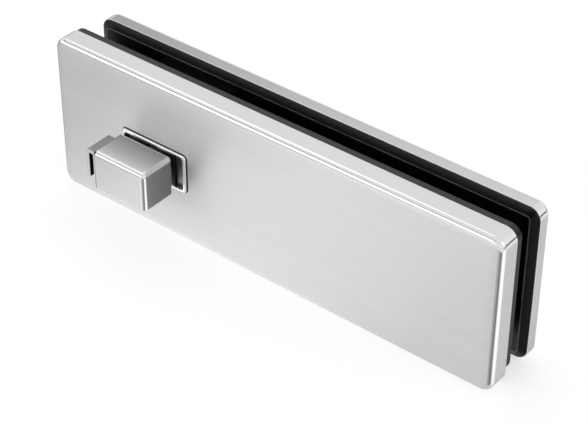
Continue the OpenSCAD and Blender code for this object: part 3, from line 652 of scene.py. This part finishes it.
def dress_frame():
    """The frame round the turn: a rim rounded over, a floor at each end, and a thin black ring under the rim's foot
    that shows as a dark line round it.
    """
    r, top = RIM_ROUND, FACE - RIM_PROUD
    x0, x1 = TURN_X - RIM_W / 2, TURN_X + RIM_W / 2
    z0, z1 = TURN_Z - RIM_H / 2, TURN_Z + RIM_H / 2
    angles = range(0, 91, 10)
    profile = [(0.0, FACE)]
    profile += [(r - r * cos(a), top + r - r * sin(a)) for a in angles]
    profile += [(RIM_TOP - r + r * sin(a), top + r - r * cos(a)) for a in angles]
    profile += [(RIM_TOP, FLOOR_BACK), (RIM_LAP, FLOOR_BACK), (RIM_LAP, FACE)]
    bm = bmesh.new()
    skin(bm, [ring(x0 + d, x1 - d, z0 + d, z1 - d, RIM_CORNER - d / 3, y, 8) for d, y in profile], close=True)
    to_object(bm, "turn_frame", "lock_frame", "polished_frame", "escutcheon")

    floors = ((-1, "frame_floor_left", MATERIALS["black_plastic"]), (1, "frame_floor_right", FRAME_FLOOR))
    for side, name, mat in floors:
        one, two = sorted((TURN_X + side * FLOOR_INNER, TURN_X + side * (RIM_W / 2 - RIM_TOP + FLOOR_LAP)))
        low, high = z0 + RIM_TOP - FLOOR_LAP, z1 - RIM_TOP + FLOOR_LAP
        rings = [(0.0, FLOOR_BACK - 0.02), (0.0, FLOOR_Y + 0.15), (0.05, FLOOR_Y + 0.05), (0.15, FLOOR_Y)]
        bm = bmesh.new()
        skin(bm, [ring(one + d, two - d, low + d, high - d, FLOOR_CORNER, y, 4) for d, y in rings], True, True)
        floor = to_object(bm, name, "lock_frame", "polished_frame", "escutcheon")
        floor.data.materials[0] = mat

    # a thin black ring under the rim's foot, seen as a dark line round the rim
    out, under = -BLACK_RING_REACH, BLACK_RING_UNDER
    profile = [(out, FACE - 0.01), (out, FACE - 0.12), (out + 0.1, FACE - BLACK_RING_RISE),
               (under, FACE - BLACK_RING_RISE), (under, FACE - 0.01)]
    bm = bmesh.new()
    skin(bm, [ring(x0 + d, x1 - d, z0 + d, z1 - d, RIM_CORNER - d, y, 8) for d, y in profile], close=True)
    to_object(bm, "frame_black_ring", "lock_frame", "black_plastic", "escutcheon")


# What reflections see instead of the white that the camera sees: a patterned tent. Its level goes by the height of
# the direction above or below the horizon, as a sine.
TENT = ((0.0, 0.5), (0.02, 0.5), (0.06, 0.92), (0.40, 0.92), (0.56, 0.84), (1.0, 0.84))
# Brighter and darker patches: azimuth, elevation, the angles where each starts and has faded out, and its level.
# They fade out at the horizon.
PATCHES = (
    (-127, 3, 28, 46, 1.2),
    (-131, -20, 24, 40, 1.15),
    (-131, -36, 3, 24, 1.3),
    (-70, -37, 12, 28, 0.55),
    (-50, -37, 8, 22, 0.25),
    (11, -37, 13, 30, 1.2),
    (61, -37, 6, 18, 0.70),
    (132, 37, 4, 30, 0.84),
)
PATCH_FADE = (0.03, 0.07)
# Dark stripes, above at the front left and at the rear right horizon: azimuth, elevation, lower and upper height,
# level. Their ends fade from the first to the second angle.
STRIPES = ((-131, 37, 0.56, 0.67, 0.05), (42, 0, -0.07, 0.07, 0.05))
STRIPE_FADE, STRIPE_SOFT = (25, 45), 0.01
# Painted light and shade on the floor, seen in reflections alone: the share of the tent that comes through the floor,
# by the place along X from TINT_START over TINT_LENGTH metres.
FLOOR_TINT = (
    (0.0, 0.48), (0.25, 0.54), (0.37, 0.95), (0.46, 1.05), (0.58, 0.96), (0.68, 0.74), (0.75, 0.74), (0.79, 1.0),
)
TINT_START, TINT_LENGTH = -0.2, 0.5
FLOOR_HALF, FLOOR_DROP = 6.0, 0.0002
FLOOR_COLOUR, FLOOR_SEEN = 0.62, 0.62
WORLD_LIGHT, WORLD_SEEN = 0.56, 1.0
# Lamps: name, place, target, size in metres and power in watts.
LAMPS = (
    ("key", (-0.62, -1.05, 0.55), (0.06, 0.0, 0.04), (1.4, 0.6), 1.6),
    ("top", (-0.45, 0.50, 1.0), (0.06, 0.0, 0.03), (1.0, 0.7), 1.2),
    ("side", (1.1, 0.35, 0.7), (0.06, 0.0, 0.03), (0.6, 0.6), 0.8),
)


class Studio(Tree):
    """The node tree of the floor or the world."""

    curve = "SMOOTHSTEP"

    def __init__(self, tree):
        super().__init__(tree)
        self.path = self.add("ShaderNodeLightPath").outputs

    def reflected(self):
        """1 for the rays that reflections and glass send out."""
        return self.math("MAXIMUM", self.path["Is Glossy Ray"], self.path["Is Transmission Ray"])

    def ramp(self, value, stops):
        """Levels between stops, each a place from 0 to 1 and its level."""
        node = self.add("ShaderNodeValToRGB")
        while len(node.color_ramp.elements) < len(stops):
            node.color_ramp.elements.new(0.5)
        for element, (place, level) in zip(node.color_ramp.elements, stops):
            element.position = place
            element.color = (level, level, level, 1)
        self.link(value, node.inputs[0])
        return node.outputs[0]

    def patch(self, way, azimuth, elevation, inner, outer):
        """1 within inner degrees of a direction, 0 beyond outer."""
        node = self.add("ShaderNodeVectorMath", operation="DOT_PRODUCT")
        node.inputs[1].default_value = (cos(azimuth) * cos(elevation), sin(azimuth) * cos(elevation), sin(elevation))
        self.link(way, node.inputs[0])
        return self.span(node.outputs["Value"], cos(outer), cos(inner), 0.0, 1.0)


def make_floor():
    """A plain floor, white to the camera, that takes a soft shadow; reflections see the tent through it."""
    mesh = bpy.data.meshes.new("floor")
    h = FLOOR_HALF
    mesh.from_pydata([(-h, -h, 0), (h, -h, 0), (h, h, 0), (-h, h, 0)], [], [(0, 1, 2, 3)])
    floor = bpy.data.objects.new("floor", mesh)
    floor.location.z = CAD_LOW.z - FLOOR_DROP
    SCENE.collection.objects.link(floor)
    mat = bpy.data.materials.new("floor_white")
    mat.use_nodes = True
    s = Studio(mat.node_tree)
    diffuse = s.add("ShaderNodeBsdfDiffuse")
    diffuse.inputs["Color"].default_value = (FLOOR_COLOUR, FLOOR_COLOUR, FLOOR_COLOUR, 1)
    glow = s.add("ShaderNodeEmission")
    s.link(s.mix(s.path["Is Camera Ray"], 0.0, FLOOR_SEEN), glow.inputs["Strength"])
    paper = s.add("ShaderNodeAddShader")
    s.link(diffuse.outputs[0], paper.inputs[0])
    s.link(glow.outputs[0], paper.inputs[1])
    # painted light and shade for reflections: the share of the tent that comes through goes by the place along X
    along = s.parts(s.add("ShaderNodeTexCoord").outputs["Object"])[0]
    along = s.math("MULTIPLY_ADD", along, 1 / TINT_LENGTH, -TINT_START / TINT_LENGTH)
    through = s.add("ShaderNodeBsdfTransparent")
    s.link(s.ramp(along, FLOOR_TINT), through.inputs[0])
    both = s.add("ShaderNodeMixShader")
    s.link(s.reflected(), both.inputs[0])
    s.link(paper.outputs[0], both.inputs[1])
    s.link(through.outputs[0], both.inputs[2])
    s.link(both.outputs[0], s.add("ShaderNodeOutputMaterial").inputs["Surface"])
    mesh.materials.append(mat)


def make_world():
    """A pale world, white to the camera; reflections see the tent."""
    world = bpy.data.worlds.new("studio")
    SCENE.world = world
    world.use_nodes = True
    s = Studio(world.node_tree)
    way = s.add("ShaderNodeTexCoord").outputs["Generated"]
    rise = s.parts(way)[2]
    height = s.math("ABSOLUTE", rise)
    level = s.ramp(height, TENT)
    off_horizon = s.span(height, *PATCH_FADE, 0.0, 1.0)
    for azimuth, elevation, inner, outer, value in PATCHES:
        share = s.math("MULTIPLY", off_horizon, s.patch(way, azimuth, elevation, inner, outer))
        level = s.mix(share, level, value)
    for azimuth, elevation, low, high, dark in STRIPES:
        above = s.span(rise, low - STRIPE_SOFT, low + STRIPE_SOFT, 0.0, 1.0)
        below = s.span(rise, high - STRIPE_SOFT, high + STRIPE_SOFT, 1.0, 0.0)
        stripe = s.math("MULTIPLY", above, below)
        level = s.mix(s.math("MULTIPLY", stripe, s.patch(way, azimuth, elevation, *STRIPE_FADE)), level, dark)
    back = s.add("ShaderNodeBackground")
    back.inputs["Color"].default_value = (1, 1, 1, 1)
    unseen = s.mix(s.reflected(), WORLD_LIGHT, level)
    s.link(s.mix(s.path["Is Camera Ray"], unseen, WORLD_SEEN), back.inputs["Strength"])
    s.link(back.outputs[0], s.add("ShaderNodeOutputWorld").inputs["Surface"])


def add_lamp(name, place, target, size, power):
    data = bpy.data.lights.new(name, "AREA")
    data.shape = "RECTANGLE"
    data.size, data.size_y = size
    data.energy = power
    lamp = bpy.data.objects.new(name, data)
    lamp.location = place
    aim = Vector(target) - Vector(place)
    lamp.rotation_euler = aim.to_track_quat("-Z", "Y").to_euler()
    SCENE.collection.objects.link(lamp)


make_camera()
dress_nodes()
dress_covers()
dress_pads()
dress_turn()
dress_tab()
dress_frame()
make_floor()
make_world()
for lamp_row in LAMPS:
    add_lamp(*lamp_row)

SCENE.view_settings.view_transform = "Standard"
